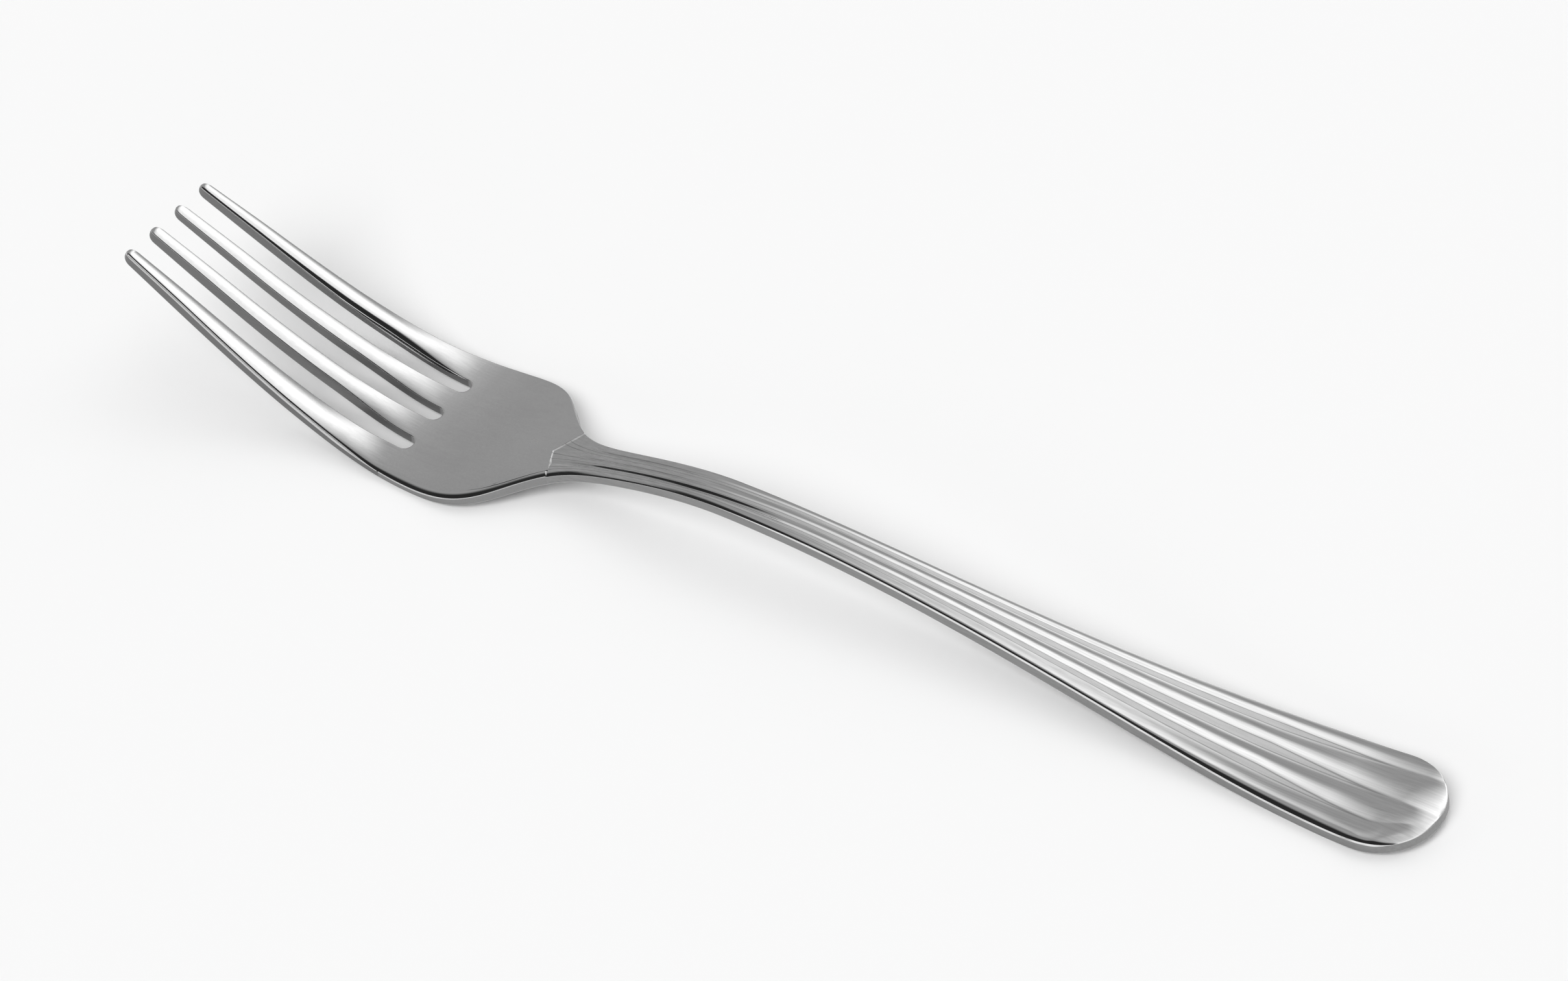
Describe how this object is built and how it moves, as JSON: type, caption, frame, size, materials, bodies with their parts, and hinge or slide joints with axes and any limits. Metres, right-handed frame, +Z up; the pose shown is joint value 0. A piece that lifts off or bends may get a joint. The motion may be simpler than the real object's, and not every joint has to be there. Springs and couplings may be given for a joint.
{
  "type": "cake fork",
  "caption": "Small dessert fork of polished steel: fluted handle with a rounded end, arched slender neck, plain shouldered head and upswept tapering tines.",
  "frame": {"origin": "centre of the bounding box in plan, at the height of the table the fork lies on", "axes": "+X along the fork towards the tine tips, +Y across the tines, +Z up, out of the side that carries the fluting"},
  "size_m": [0.1502, 0.0196, 0.0147],
  "materials": {
    "steel": "polished stainless steel, slightly satin on the flat of the head"
  },
  "bodies": {
    "root": {"handle": "steel", "head": "steel", "tine_1": "steel", "tine_2": "steel", "tine_3": "steel", "tine_4": "steel"}
  },
  "joints": []
}
